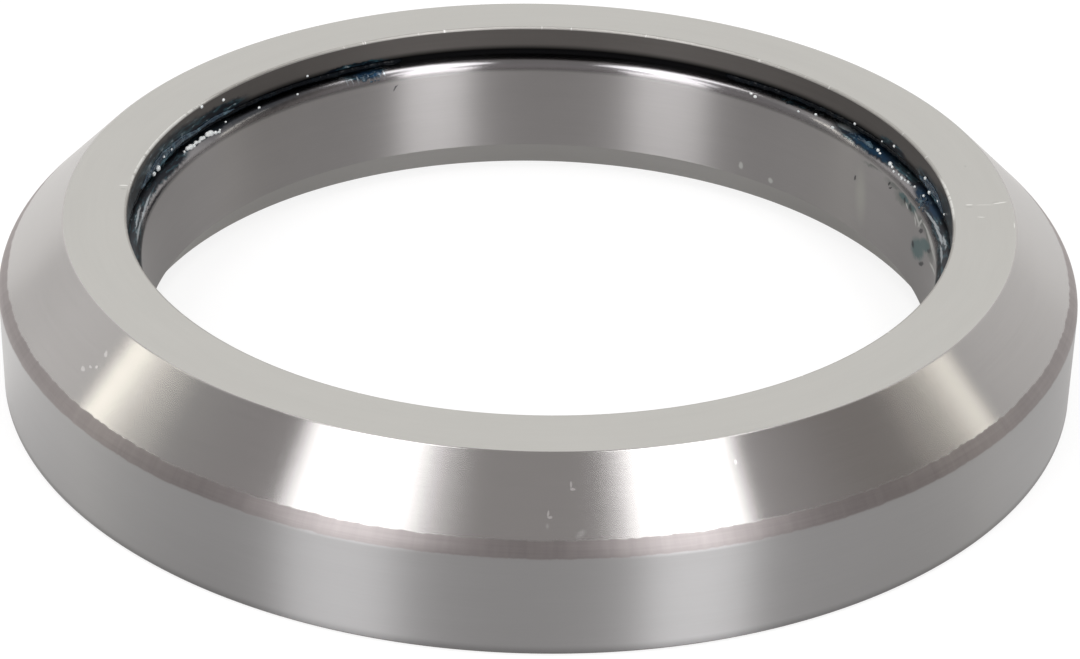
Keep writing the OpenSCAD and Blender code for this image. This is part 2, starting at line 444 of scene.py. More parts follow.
def on_wall(radius, azimuth, height, along, tall, tilt=0):
    """A mark on an upright wall: its half length round the axis, its half height and its tilt in degrees."""
    return azimuth, radius, height, (along, MARK_DEPTH + MARK_CURVE * along ** 2, tall), (0, tilt, 0)


def on_seat(azimuth, height, along, tall, tilt=0):
    """A mark on the outer ring's seat."""
    return on_wall(TOP_R + HEIGHT - height, azimuth, height, along, tall, tilt)


def on_lip(*mark):
    """A mark on the wall of the hole in the outer ring."""
    return on_wall(LIP_R, *mark)


def in_bore(*mark):
    """A mark on the wall of the bore."""
    return on_wall(BORE_R, *mark)


def on_face(azimuth, radius, along, out, tilt=0):
    """A mark on the top face: its half length round the axis, its half length outwards and its tilt."""
    return azimuth, radius, HEIGHT, (along, out, MARK_DEPTH), (0, 0, tilt)


def placed(kind, *marks):
    """A list of marks of one kind."""
    return [kind(*mark) for mark in marks]


def ring_coordinates(tree):
    """Sockets for a place on the ring: unit X and Y round the axis, radius and height in millimetres."""
    x, y, z = node(tree, "ShaderNodeSeparateXYZ", {0: scaled(tree, own_place(tree), 1 / MM)}).outputs
    square = calc(tree, "ADD", calc(tree, "MULTIPLY", x, x), calc(tree, "MULTIPLY", y, y))
    radius = calc(tree, "SQRT", square)
    return calc(tree, "DIVIDE", x, radius), calc(tree, "DIVIDE", y, radius), radius, z


def streaks(tree, place, along, across, rise=None):
    """Noise drawn out round the axis. along and across are its scales per radian and per millimetre."""
    unit_x, unit_y, _, z = place
    vector = node(tree, "ShaderNodeCombineXYZ", {
        0: calc(tree, "MULTIPLY", unit_x, along),
        1: calc(tree, "MULTIPLY", unit_y, along),
        2: calc(tree, "MULTIPLY", z if rise is None else rise, across)}).outputs[0]
    return noise(tree, vector, 1.0, 3.0, 0.6)


def toned(tree, colour, lines, broad, mottle):
    """A colour that varies a little with two noises."""
    return scaled(tree, colour, varied(tree, varied(tree, 1.0, broad, mottle), lines, mottle))


def start_material(name):
    """A new material with a Principled shader."""
    material = bpy.data.materials.new(name)
    material.use_nodes = True
    tree = material.node_tree
    return material, tree, tree.nodes["Principled BSDF"]


def bumped(tree, shader, height, strength, depth):
    """Gives a shader a relief of some depth in millimetres."""
    values = {"Height": height, "Strength": strength, "Distance": depth * MM}
    tree.links.new(node(tree, "ShaderNodeBump", values).outputs[0], shader.inputs["Normal"])


def ground(material, tree, shader, base, rough, lines, anisotropy, line_bump):
    """Finishes a steel whose fine marks run round the axis."""
    tree.links.new(base, shader.inputs["Base Color"])
    tree.links.new(rough, shader.inputs["Roughness"])
    shader.inputs["Metallic"].default_value = 1.0
    shader.inputs["Anisotropic"].default_value = anisotropy
    shader.inputs["Anisotropic Rotation"].default_value = 0.25
    tangent = node(tree, "ShaderNodeTangent", direction_type="RADIAL", axis="Z")
    tree.links.new(tangent.outputs[0], shader.inputs["Tangent"])
    bumped(tree, shader, lines, line_bump, RELIEF)
    return material


def steel(name, colour, roughness, anisotropy, line_scale, line_bump):
    """One plain finish of ground or turned steel."""
    material, tree, shader = start_material(name)
    place = ring_coordinates(tree)
    lines = streaks(tree, place, 5.0, line_scale)
    base = toned(tree, colour, lines, streaks(tree, place, *BROAD_TONES), MOTTLE)
    rough = varied(tree, roughness, lines, 0.12 * roughness)
    return ground(material, tree, shader, base, rough, lines, anisotropy, line_bump)


def outside_finish():
    """The ground seat above, the ground outside below, and the unground band between them."""
    material, tree, shader = start_material("outside_steel")
    place = ring_coordinates(tree)
    z = place[3]
    lines = streaks(tree, place, *GROUND_LINES)
    broad = streaks(tree, place, *BROAD_TONES)
    ragged = streaks(tree, place, *BAND_TEETH)
    wander = streaks(tree, place, *BAND_WAVES)
    wave = varied(tree, varied(tree, z, ragged, BAND_RAGGED), wander, BAND_WANDER)
    above = step_between(tree, wave, BAND_TOP - BAND_SOFT, BAND_TOP + BAND_SOFT)
    below = step_between(tree, wave, BAND_LOW - BAND_SOFT, BAND_LOW + BAND_SOFT)
    seat = toned(tree, SEAT_COLOUR, lines, broad, MOTTLE)
    band = toned(tree, BAND_COLOUR, lines, ragged, 0.25)
    side = toned(tree, SIDE_COLOUR, lines, broad, MOTTLE)
    foot = toned(tree, FOOT_COLOUR, lines, broad, 0.1)
    seat = overlaid(tree, seat, SEAT_NICKS, TEAR, 0.5, 0.8, NICK_BRIGHT)
    seat = overlaid(tree, seat, SEAT_TICKS, TEAR, 0.5, 0.5, NICK_BRIGHT)
    seat = overlaid(tree, seat, SEAT_SCUFFS, TEAR, 0.9, 0.45, SCUFF_BRIGHT)
    base = mixed(tree, below, side, mixed(tree, above, band, seat))
    base = mixed(tree, step_between(tree, z, FOOT_LOW, FOOT_TOP), foot, base)
    rough = blended(tree, below, SIDE_ROUGH, blended(tree, above, BAND_ROUGH, SEAT_ROUGH))
    rough = varied(tree, rough, lines, 0.04)
    return ground(material, tree, shader, base, rough, lines, anisotropy=1.0, line_bump=0.06)


def face_finish():
    """The matte top face, with faint grain, a few scratches and painted shadows beside them."""
    material, tree, shader = start_material("face_steel")
    place = ring_coordinates(tree)
    radius = place[2]
    lines = streaks(tree, place, *TURNED_LINES, radius)
    broad = streaks(tree, place, *BROAD_TONES, radius)
    base = toned(tree, FACE_COLOUR, lines, broad, MOTTLE)
    # Painted shadows beside the scratches
    base = overlaid(tree, base, FACE_SHADOWS_AND_SPOT, 0.02, 0.9, 0.5, FACE_SHADOW_AND_SPOT_GREY)
    base = overlaid(tree, base, FACE_SCRATCHES, 0.02, 0.5, 0.7, SCRATCH_BRIGHT)
    rough = varied(tree, FACE_ROUGH, lines, 0.06)
    return ground(material, tree, shader, base, rough, lines, anisotropy=0.0, line_bump=0.25)


def bore_finish():
    """The ground bore, with the streaks, stains and specks that grease left on it, and a painted highlight.
    """
    material, tree, shader = start_material("bore_steel")
    place = ring_coordinates(tree)
    lines = streaks(tree, place, *GROUND_LINES)
    base = toned(tree, BORE_COLOUR, lines, streaks(tree, place, *BROAD_TONES), 0.07)
    # Painted highlight
    base = overlaid(tree, base, BORE_PAINTED_HIGHLIGHT, 0.0, 0.9, 0.5, BORE_HIGHLIGHT_PALE)
    base = overlaid(tree, base, BORE_SMUDGES, 4 * TEAR, 0.8, 0.6, STAIN_DULL)
    base = overlaid(tree, base, BORE_PATCHES, 3 * TEAR, 0.5, 0.8, STAIN_GREEN)
    base = overlaid(tree, base, BORE_STREAKS, 0.6 * TEAR, 0.6, 0.95, STREAK_PALE)
    base = overlaid(tree, base, BORE_SPECKS, 2 * TEAR, 0.6, 0.85, SPECK_DARK)
    rough = varied(tree, BORE_ROUGH, lines, 0.04)
    return ground(material, tree, shader, base, rough, lines, anisotropy=1.0, line_bump=0.06)


def filmed(tree, place, base, films, shine, strands):
    """A base colour with films of grease drawn out round the axis, paler inside shine, and pale strands."""
    film = marked(tree, films, 2 * TEAR, 0.4)
    drawn = streaks(tree, place, *FILM_STREAKS, calc(tree, "ADD", place[2], place[3]))
    drawn = calc(tree, "MULTIPLY_ADD", marked(tree, shine, 2 * TEAR, 0.8), 0.14, drawn)
    curds = noise(tree, own_place(tree), *FILM_CURDS)
    pale = step_between(tree, calc(tree, "MULTIPLY", drawn, curds), *GREY_RISE)
    tint = mixed(tree, step_between(tree, drawn, *TEAL_RISE), FILM_DARK, FILM_TEAL)
    tint = mixed(tree, pale, tint, FILM_GREY)
    base = mixed(tree, calc(tree, "MULTIPLY", film, 0.95), base, tint)
    base = overlaid(tree, base, strands, 0.4 * TEAR, 0.5, 0.8, FILM_PALE)
    return base, film, calc(tree, "MULTIPLY", film, calc(tree, "MULTIPLY", drawn, 3.0))


def rim_finish():
    """The turned rim at the top of the bore, which the bore's finish runs into, with a painted shade line
    round the foot of its round and painted shade in places.
    """
    material, tree, shader = start_material("rim_steel")
    place = ring_coordinates(tree)
    lines = streaks(tree, place, *TURNED_LINES)
    broad = streaks(tree, place, *RIM_TONES)
    up = step_between(tree, place[3], *RIM_FADE)
    low_tone = toned(tree, BORE_COLOUR, lines, broad, 0.07)
    plain = mixed(tree, up, low_tone, toned(tree, RIM_COLOUR, lines, broad, 0.15))
    # Painted shade: a darker line round the foot of the rim's round
    off_shade_line = calc(tree, "ABSOLUTE", calc(tree, "SUBTRACT", place[3], RIM_SHADE_LINE_Z))
    line = calc(tree, "SUBTRACT", 1.0, step_between(tree, off_shade_line, 0.0, RIM_SHADE_LINE_HALF))
    plain = mixed(tree, calc(tree, "MULTIPLY", line, RIM_SHADE_LINE_SHARE), plain, RIM_SHADE_LINE_COLOUR)
    base, film, relief = filmed(tree, place, plain, RIM_FILMS, [], RIM_STRANDS)
    base = overlaid(tree, base, RIM_BLUES, 3 * TEAR, 0.6, 0.9, FILM_BLUE)
    # Painted shade and darker patches on the rim
    base = overlaid(tree, base, RIM_SHADE_AND_DARK_PATCHES, TEAR, 0.7, 0.85, RIM_SHADE_AND_PATCH_DARK)
    rough = blended(tree, film, blended(tree, up, BORE_ROUGH, RIM_ROUGH), FILM_ROUGH)
    relief = calc(tree, "ADD", relief, lines)
    return ground(material, tree, shader, base, rough, relief, anisotropy=1.0, line_bump=0.12)


def lip_finish():
    """The dull wall of the hole in the outer ring, with painted shade that turns it black towards its lower
    edge at the gap.
    """
    material, tree, shader = start_material("lip_steel")
    place = ring_coordinates(tree)
    lines = streaks(tree, place, *TURNED_LINES)
    lit = step_between(tree, place[3], *LIP_FADE)
    tone = toned(tree, LIP_COLOUR, lines, streaks(tree, place, *RIM_TONES), 0.15)
    # Painted shade: black towards the gap
    plain = mixed(tree, lit, LIP_SHADE_BLACK, tone)
    base, film, relief = filmed(tree, place, plain, LIP_FILMS, LIP_SHINE, [])
    rough = blended(tree, film, LIP_ROUGH, FILM_ROUGH)
    relief = calc(tree, "ADD", relief, lines)
    return ground(material, tree, shader, base, rough, relief, anisotropy=0.4, line_bump=0.15)


def edge_finish():
    """The edge of the hole in the top face, with painted highlights in bright specks, more of them inside
    EDGE_GLINTS.
    """
    material, tree, shader = start_material("edge_steel")
    place = ring_coordinates(tree)
    lines = streaks(tree, place, *TURNED_LINES)
    specks = streaks(tree, place, *EDGE_SPECKS)
    # Painted highlights: bright specks along the edge
    glint_specks = step_between(tree, specks, *GLINT_RISE)
    glints = calc(tree, "MULTIPLY", marked(tree, EDGE_GLINTS, 0.0, 0.4), glint_specks)
    bright = calc(tree, "MAXIMUM", step_between(tree, specks, *SPECK_RISE), glints)
    tone = toned(tree, EDGE_COLOUR, lines, streaks(tree, place, *BROAD_TONES), 0.1)
    base = mixed(tree, bright, tone, EDGE_GLINT_BRIGHT)
    rough = varied(tree, EDGE_ROUGH, lines, 0.06)
    return ground(material, tree, shader, base, rough, lines, anisotropy=0.0, line_bump=0.2)


def grease_finish(name, tones, specular=0.5, navy=()):
    """Wet grease: glossy, with paler curds in it, and navy inside some marks."""
    material, tree, shader = start_material(name)
    curds = noise(tree, own_place(tree), *GREASE_CURDS)
    fine = noise(tree, own_place(tree), *GREASE_GLOSS)
    base = mixed(tree, step_between(tree, curds, *PALE_RISE), *tones)
    if navy:
        tint = mixed(tree, step_between(tree, curds, *NAVY_RISE), *GREASE_NAVY)
        base = mixed(tree, marked(tree, navy, 2 * TEAR, 0.7), base, tint)
    tree.links.new(base, shader.inputs["Base Color"])
    tree.links.new(calc(tree, "MULTIPLY_ADD", fine, 0.2, 0.12), shader.inputs["Roughness"])
    bumped(tree, shader, fine, 0.3, 0.02)
    shader.inputs["Specular IOR Level"].default_value = specular
    return material


def moulded(name, colour, roughness, grain, specular=0.5):
    """A moulded plastic or rubber with fine grain and soft flow marks round the axis."""
    material, tree, shader = start_material(name)
    flow = streaks(tree, ring_coordinates(tree), *FLOW_MARKS)
    fine = noise(tree, own_place(tree), grain, 3.0, 0.6)
    tree.links.new(toned(tree, colour, fine, flow, 0.35), shader.inputs["Base Color"])
    tree.links.new(varied(tree, roughness, flow, 0.25), shader.inputs["Roughness"])
    bumped(tree, shader, fine, 0.3, 0.01)
    shader.inputs["Specular IOR Level"].default_value = specular
    return material


def ball_finish():
    """Polished steel, hazed in places by the grease it runs in."""
    material, tree, shader = start_material("ball_steel")
    haze = noise(tree, own_place(tree), *BALL_HAZE)
    fine = noise(tree, own_place(tree), *BALL_POLISH)
    tree.links.new(mixed(tree, haze, BALL_BRIGHT, BALL_HAZED), shader.inputs["Base Color"])
    tree.links.new(calc(tree, "MULTIPLY_ADD", haze, 0.16, 0.04), shader.inputs["Roughness"])
    bumped(tree, shader, fine, 0.04, RELIEF)
    shader.inputs["Metallic"].default_value = 1.0
    return material


def dress(material, *names):
    """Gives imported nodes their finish."""
    for name in names:
        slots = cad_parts[name].data.materials
        slots.clear()
        slots.append(material)


def line_run(*points):
    """Straight stretches of a section, each with its own flat normals, which point to its right."""
    run = []
    for a, b in zip(points, points[1:]):
        reach = math.hypot(b[0] - a[0], b[1] - a[1])
        normal = ((b[1] - a[1]) / reach, -(b[0] - a[0]) / reach)
        run.append([(a, normal), (b, normal)])
    return run


def arc_run(centre, radius, start, end, steps):
    """A round stretch of a section between two angles. It bulges outwards if it turns anticlockwise."""
    side = 1 if end > start else -1
    stretch = []
    for k in range(steps + 1):
        turn = math.radians(start + (end - start) * k / steps)
        x, y = math.cos(turn), math.sin(turn)
        stretch.append(((centre[0] + radius * x, centre[1] + radius * y), (side * x, side * y)))
    return [stretch]


def lathe(name, zones, body):
    """Revolves a closed section with exact normals. zones is a list of (material, runs), in order."""
    rows, faces, normals, kinds = [], [], [], []
    materials = []
    for material, runs in zones:
        if material not in materials:
            materials.append(material)
        for run in runs:
            for (a, normal_a), (b, normal_b) in zip(run, run[1:]):
                rows.append((a, b, normal_a, normal_b, materials.index(material)))
    points = np.array([row[0] for row in rows]) * MM
    count = len(points)
    turn = np.arange(TURNS) * 2 * math.pi / TURNS
    sine, cosine = np.sin(turn), np.cos(turn)
    vertices = np.empty((TURNS, count, 3))
    vertices[:, :, 0] = points[None, :, 0] * cosine[:, None]
    vertices[:, :, 1] = points[None, :, 0] * sine[:, None]
    vertices[:, :, 2] = points[None, :, 1]
    for t in range(TURNS):
        after = (t + 1) % TURNS
        for i, (a, b, normal_a, normal_b, kind) in enumerate(rows):
            j = (i + 1) % count
            faces.append((t * count + i, after * count + i, after * count + j, t * count + j))
            kinds.append(kind)
            for corner, normal in ((t, normal_a), (after, normal_a), (after, normal_b), (t, normal_b)):
                normals.append((normal[0] * cosine[corner], normal[0] * sine[corner], normal[1]))
    mesh = bpy.data.meshes.new(name)
    mesh.from_pydata(vertices.reshape(-1, 3).tolist(), [], faces)
    mesh.polygons.foreach_set("use_smooth", [True] * len(faces))
    mesh.polygons.foreach_set("material_index", kinds)
    for material in materials:
        mesh.materials.append(material)
    mesh.normals_split_custom_set(normals)
    mesh.update()
    piece = bpy.data.objects.new(name, mesh)
    bpy.context.scene.collection.objects.link(piece)
    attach(piece, body)
    return piece


def outer_ring(face, seat, hidden, edge, lip, race):
    """The outer ring, anticlockwise round its section from the base."""
    corner_z = HEIGHT - SEAT_H
    blend = BLEND_R * math.tan(HALF_SEAT_ANGLE)
    slope = math.sqrt(0.5)
    race_centre = (PITCH_R - RACE_SHIFT, BALL_Z - RACE_SHIFT)
    race_top = math.degrees(math.acos((SHOULDER_R - race_centre[0]) / RACE_R))
    shoulder_z = race_centre[1] + RACE_R * math.sin(math.radians(race_top))
    race_low = math.degrees(math.acos((SKIRT_R - race_centre[0]) / RACE_R))
    race_low_z = race_centre[1] - RACE_R * math.sin(math.radians(race_low))
    upper_groove_z = LIP_Z - SEAL_SLOT
    upper_groove_r = SHOULDER_R + SEAL_GROOVE
    lower_groove_r = SKIRT_R + SEAL_GROOVE
    round_r = FINE_EDGE / math.tan(HALF_SEAT_ANGLE)
    zones = [
        (face, line_run((SKIRT_R + EDGE, 0), (OUTER_R - EDGE, 0))),
        (hidden, line_run((OUTER_R - EDGE, 0), (OUTER_R, EDGE))),
        (seat, line_run((OUTER_R, EDGE), (OUTER_R, corner_z - blend))),
        (seat, arc_run((OUTER_R - BLEND_R, corner_z - blend), BLEND_R, 0, 45, 8)),
        (seat, line_run((OUTER_R - blend * slope, corner_z + blend * slope),
                        (TOP_R + FINE_EDGE * slope, HEIGHT - FINE_EDGE * slope))),
        (seat, arc_run((TOP_R - FINE_EDGE, HEIGHT - round_r), round_r, 45, 90, 4)),
        (face, line_run((TOP_R - FINE_EDGE, HEIGHT), (LIP_R + EDGE, HEIGHT))),
        (edge, arc_run((LIP_R + EDGE, HEIGHT - EDGE), EDGE, 90, 180, 4)),
        (lip, line_run((LIP_R, HEIGHT - EDGE), (LIP_R, LIP_Z))),
        (hidden, line_run((LIP_R, LIP_Z), (upper_groove_r, LIP_Z), (upper_groove_r, upper_groove_z),
                          (SHOULDER_R, upper_groove_z), (SHOULDER_R, shoulder_z))),
        (race, arc_run(race_centre, RACE_R, race_top, -race_low, 18)),
        (hidden, line_run((SKIRT_R, race_low_z), (SKIRT_R, LOWER_GROOVE_Z + SEAL_SLOT),
                          (lower_groove_r, LOWER_GROOVE_Z + SEAL_SLOT), (lower_groove_r, LOWER_GROOVE_Z),
                          (SKIRT_R, LOWER_GROOVE_Z), (SKIRT_R, EDGE), (SKIRT_R + EDGE, 0))),
    ]
    piece = lathe("outer_ring_ground", zones, "outer")
    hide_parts("outer_ring")


def inner_ring(bore, seat, hidden, rim, race):
    """The inner ring, anticlockwise round its section from the base."""
    mouth_r = BORE_R + INNER_SEAT_H * math.tan(INNER_SEAT_ANGLE)
    race_centre = (PITCH_R + RACE_SHIFT, BALL_Z + RACE_SHIFT)
    race_start = 180 + math.degrees(math.acos((race_centre[0] - FLANGE_R) / RACE_R))
    race_end = 180 - math.degrees(math.acos((race_centre[0] - WALL_R) / RACE_R))
    low_z = race_centre[1] + RACE_R * math.sin(math.radians(race_start))
    high_z = race_centre[1] + RACE_R * math.sin(math.radians(race_end))
    rim_outer_r = WALL_R - LAND_STEP
    land_z = RIM_Z - LAND_DROP - LAND_STEP
    zones = [
        (seat, line_run((mouth_r, 0), (FLANGE_R - EDGE, 0))),
        (hidden, line_run((FLANGE_R - EDGE, 0), (FLANGE_R, EDGE), (FLANGE_R, low_z))),
        (race, arc_run(race_centre, RACE_R, race_start, race_end, 18)),
        (hidden, line_run((WALL_R, high_z), (WALL_R, land_z), (rim_outer_r, land_z + LAND_STEP),
                          (rim_outer_r, RIM_Z - EDGE))),
        (rim, arc_run((rim_outer_r - EDGE, RIM_Z - EDGE), EDGE, 0, 90, 4)),
        (rim, line_run((rim_outer_r - EDGE, RIM_Z), (BORE_R + RIM_ROUND_R, RIM_Z))),
        (rim, arc_run((BORE_R + RIM_ROUND_R, RIM_Z - RIM_ROUND_R), RIM_ROUND_R, 90, 180, 10)),
        (bore, line_run((BORE_R, RIM_Z - RIM_ROUND_R), (BORE_R, INNER_SEAT_H))),
        (seat, line_run((BORE_R, INNER_SEAT_H), (mouth_r, 0))),
    ]
    piece = lathe("inner_ring_ground", zones, "inner")
    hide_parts("inner_ring")


def unit_ball():
    """Vertices and faces of a round ball of radius 1."""
    made = bmesh.new()
    bmesh.ops.create_icosphere(made, subdivisions=2, radius=1)
    vertices = np.array([vertex.co for vertex in made.verts])
    faces = np.array([[vertex.index for vertex in face.verts] for face in made.faces])
    made.free()
    return vertices, faces


def heap(blobs):
    """A mesh in millimetres of squashed balls. Each is (azimuth, radius, height, along, deep, tall)."""
    ball, ball_faces = unit_ball()
    vertices, faces = [], []
    for k, (azimuth, radius, height, along, deep, tall) in enumerate(blobs):
        turn = math.radians(azimuth)
        tangent = np.array((math.cos(turn), math.sin(turn), 0))
        outward = np.array((math.sin(turn), -math.cos(turn), 0))
        centre = outward * radius + np.array((0, 0, height))
        offset = np.outer(ball[:, 0] * along, tangent) + np.outer(ball[:, 1] * deep, outward)
        offset[:, 2] += ball[:, 2] * tall
        vertices.append(centre + offset)
        faces.append(ball_faces + k * len(ball))
    mesh = bpy.data.meshes.new("heap")
    mesh.from_pydata(np.concatenate(vertices).tolist(), [], np.concatenate(faces).tolist())
    return mesh


def melted(mesh):
    """The heap as one smooth skin."""
    lump = bpy.data.objects.new("lump", mesh)
    bpy.context.scene.collection.objects.link(lump)
    skin = lump.modifiers.new("skin", "REMESH")
    skin.mode = "VOXEL"
    skin.voxel_size = GREASE_GRAIN
    calm = lump.modifiers.new("calm", "SMOOTH")
    calm.iterations = 3
    done = bpy.data.meshes.new_from_object(lump.evaluated_get(bpy.context.evaluated_depsgraph_get()))
    bpy.data.objects.remove(lump)
    return done


def grease(name, mesh, body, finish, low_z, low_r):
    """Grease that rides on a body and stays above a height and outside a radius."""
    places = np.empty(len(mesh.vertices) * 3)
    mesh.vertices.foreach_get("co", places)
    places = places.reshape(-1, 3)
    places[:, 2] = np.maximum(places[:, 2], low_z)
    radius = np.hypot(places[:, 0], places[:, 1])
    places[:, :2] *= np.maximum(1, low_r / radius)[:, None]
    mesh.vertices.foreach_set("co", (places * MM).ravel())
    mesh.polygons.foreach_set("use_smooth", [True] * len(mesh.polygons))
    mesh.materials.append(finish)
    mesh.update()
    piece = bpy.data.objects.new(name, mesh)
    bpy.context.scene.collection.objects.link(piece)
    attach(piece, body)


def trail(rng, start, end, count):
    """Blobs laid along the gap between two azimuths."""
    blobs = []
    for k in range(count):
        azimuth = start + (end - start) * (k + rng.random()) / count
        share = rng.uniform(1 - GAP_VARY, 1 + GAP_VARY)
        radius = GAP_R + rng.uniform(-1, 1) * GAP_SPREAD[0]
        height = GAP_Z + rng.uniform(-1, 1) * GAP_SPREAD[1]
        blobs.append((azimuth, radius, height, *(size * share for size in GAP_BLOB)))
    return blobs


def smear(rng, centre, half_width, count, rise):
    """Flat blobs wiped up from the gap onto the lip's wall, highest in the middle of the smear."""
    blobs = []
    for _ in range(count):
        share = rng.uniform(-1, 1)
        height = LIP_Z - 0.03 + rise * (1 - share * share) * rng.random()
        blobs.append((centre + share * half_width, LIP_R - 0.01, height,
                      rng.uniform(0.18, 0.38), rng.uniform(0.035, 0.07), rng.uniform(0.04, 0.08)))
    return blobs


def clump(rng, centre, half_width, count, lowest):
    """Lumps on the inner ring's rounded rim, smaller towards the clump's ends."""
    blobs = []
    for _ in range(count):
        share = rng.uniform(-1, 1)
        turn = math.radians(rng.uniform(lowest, 80))
        size = rng.uniform(0.05, 0.09) * (1.1 - abs(share))
        radius = BORE_R + RIM_ROUND_R - RIM_ROUND_R * math.cos(turn)
        height = RIM_Z - RIM_ROUND_R + RIM_ROUND_R * math.sin(turn)
        blobs.append((centre + share * half_width, radius, height, size * 1.6, size * 0.7, size))
    return blobs


def drops(places, along, deep):
    """Single blobs, longer round the axis and thinner outwards than they are tall."""
    return [(azimuth, radius, height, size * along, size * deep, size)
            for azimuth, radius, height, size in places]


def add_grease(dark, teal, pale):
    """The grease that was squeezed out of the gap between the rings."""
    rng = random.Random(GREASE_SEED)
    for name, extent in GAP_TRAILS.items():
        grease(name, melted(heap(trail(rng, *extent))), "outer", dark, GAP_FLOOR_Z, GAP_INNER_R)
    wiped = [blob for extent in LIP_SMEARS for blob in smear(rng, *extent)]
    grease("grease_lip_smears", melted(heap(wiped)), "outer", teal, SMEAR_FLOOR_Z, SMEAR_INNER_R)
    lumps = [blob for extent in RIM_CLUMPS for blob in clump(rng, *extent)]
    grease("grease_rim_lumps", melted(heap(lumps)), "inner", teal, 0, BORE_CLEAR_R)
    # The pale curds and beads carry both pale grease and painted sparkle
    curds = drops(RIM_CURDS, along=1.15, deep=0.85)
    grease("grease_rim_curds", melted(heap(curds)), "inner", pale, 0, BORE_CLEAR_R)
    grease("beads_rim", heap(drops(RIM_BEADS, along=1.2, deep=0.8)), "inner", pale, 0, BORE_CLEAR_R)
    grease("beads_lip", heap(drops(LIP_BEADS, along=1.2, deep=0.8)), "outer", pale, 0, BORE_CLEAR_R)


def add_lamp(name, azimuth, elevation, width, height, radiance, tint):
    """A softbox that faces the bearing."""
    data = bpy.data.lights.new(name, "AREA")
    data.shape = "RECTANGLE"
    data.size = 2 * LAMP_DISTANCE * math.tan(math.radians(width / 2))
    data.size_y = 2 * LAMP_DISTANCE * math.tan(math.radians(height / 2))
    data.energy = radiance * math.pi * data.size * data.size_y
    data.color = tint
    lamp = bpy.data.objects.new(name, data)
    turn, rise = math.radians(azimuth), math.radians(elevation)
    level = math.cos(rise)
    place = Vector((math.sin(turn) * level, -math.cos(turn) * level, math.sin(rise)))
    lamp.location = place * LAMP_DISTANCE
    lamp.rotation_euler = place.to_track_quat("Z", "Y").to_euler()
    lamp.visible_camera = False
    bpy.context.scene.collection.objects.link(lamp)


def azimuth_ramp(tree, place, stops):
    """A colour that changes with the azimuth of a place. stops is a list of (azimuth, level, tint)."""
    parts = node(tree, "ShaderNodeSeparateXYZ", {0: place})
    backwards = calc(tree, "MULTIPLY", parts.outputs[1], -1.0)
    azimuth = calc(tree, "ARCTAN2", parts.outputs[0], backwards)
    turn = calc(tree, "MULTIPLY_ADD", azimuth, 0.5 / math.pi, 0.5)
    made = node(tree, "ShaderNodeValToRGB", {0: turn})
    ramp = made.color_ramp
    while len(ramp.elements) < len(stops):
        ramp.elements.new(0.5)
    for element, (degrees, level, tint) in zip(ramp.elements, stops):
        element.position = 0.5 + degrees / 360
        element.color = (*(level * share for share in tint), 1)
    return made.outputs[0]


def add_world():
    """White to the camera, and the walls of a soft grey studio to the bearing."""
    world = bpy.data.worlds.new("studio")
    bpy.context.scene.world = world
    world.use_nodes = True
    tree = world.node_tree
    tree.nodes.clear()
    place = node(tree, "ShaderNodeTexCoord").outputs["Generated"]
    height = node(tree, "ShaderNodeSeparateXYZ", {0: place}).outputs[2]
    above = step_between(tree, height, *CEILING_RISE)
    studio = mixed(tree, above, azimuth_ramp(tree, place, WALLS), CEILING)
    path = node(tree, "ShaderNodeLightPath").outputs
    clear = calc(tree, "MAXIMUM", path["Is Camera Ray"], path["Is Transmission Ray"])
    background = node(tree, "ShaderNodeBackground", {0: mixed(tree, clear, studio, WHITE), 1: 1.0})
    output = node(tree, "ShaderNodeOutputWorld")
    tree.links.new(background.outputs[0], output.inputs[0])


def floor_finish():
    """Pale and matte, with a glow that only camera, glossy and transmission rays meet."""
    material = bpy.data.materials.new("floor")
    material.use_nodes = True
    tree = material.node_tree
    tree.nodes.clear()
    path = node(tree, "ShaderNodeLightPath").outputs
    clear = calc(tree, "MAXIMUM", path["Is Camera Ray"], path["Is Transmission Ray"])
    seen = calc(tree, "MAXIMUM", clear, path["Is Glossy Ray"])
    place = own_place(tree)
    outside = step_between(tree, length(tree, place), BORE_R * MM, OUTER_R * MM)
    level = blended(tree, outside, BORE_SHADE, 1.0)
    reflected = scaled(tree, azimuth_ramp(tree, place, FLOOR), level)
    light = mixed(tree, path["Is Glossy Ray"], WHITE, reflected)
    matte = node(tree, "ShaderNodeBsdfDiffuse", {0: mixed(tree, clear, FLOOR_DULL, FLOOR_PALE)})
    glow = node(tree, "ShaderNodeEmission", {0: light, 1: FLOOR_GLOW})
    share = calc(tree, "MULTIPLY", seen, GLOW_SHARE)
    shown = node(tree, "ShaderNodeMixShader", {0: share, 1: matte.outputs[0], 2: glow.outputs[0]})
    output = node(tree, "ShaderNodeOutputMaterial")
    tree.links.new(shown.outputs[0], output.inputs[0])
    return material


def add_floor():
    """A flat floor under the bearing."""
    mesh = bpy.data.meshes.new("floor")
    half = FLOOR_HALF
    corners = [(-half, -half, 0), (half, -half, 0), (half, half, 0), (-half, half, 0)]
    mesh.from_pydata(corners, [], [(0, 1, 2, 3)])
    floor = bpy.data.objects.new("floor", mesh)
    bpy.context.scene.collection.objects.link(floor)
    mesh.materials.append(floor_finish())


# Marks on the seat, each (azimuth, height, half length, half height, tilt)
SEAT_NICKS = placed(
    on_seat,
    (3.7, 5.70, 0.05, 0.11, -10), (3.9, 5.60, 0.12, 0.045), (1.4, 5.02, 0.05, 0.11, 15),
    (1.6, 4.93, 0.11, 0.05), (21.2, 5.86, 0.05, 0.10, 20))
SEAT_TICKS = placed(
    on_seat,
    (-54.2, 5.78, 0.17, 0.08, 30), (-55.8, 5.12, 0.17, 0.07, 7), (-55.0, 5.28, 0.11, 0.05, 13),
    (-54.2, 5.38, 0.11, 0.05, 8))
SEAT_SCUFFS = placed(on_seat, (4.5, 4.52, 0.28, 0.15, -35), (1.3, 4.72, 0.10, 0.12))

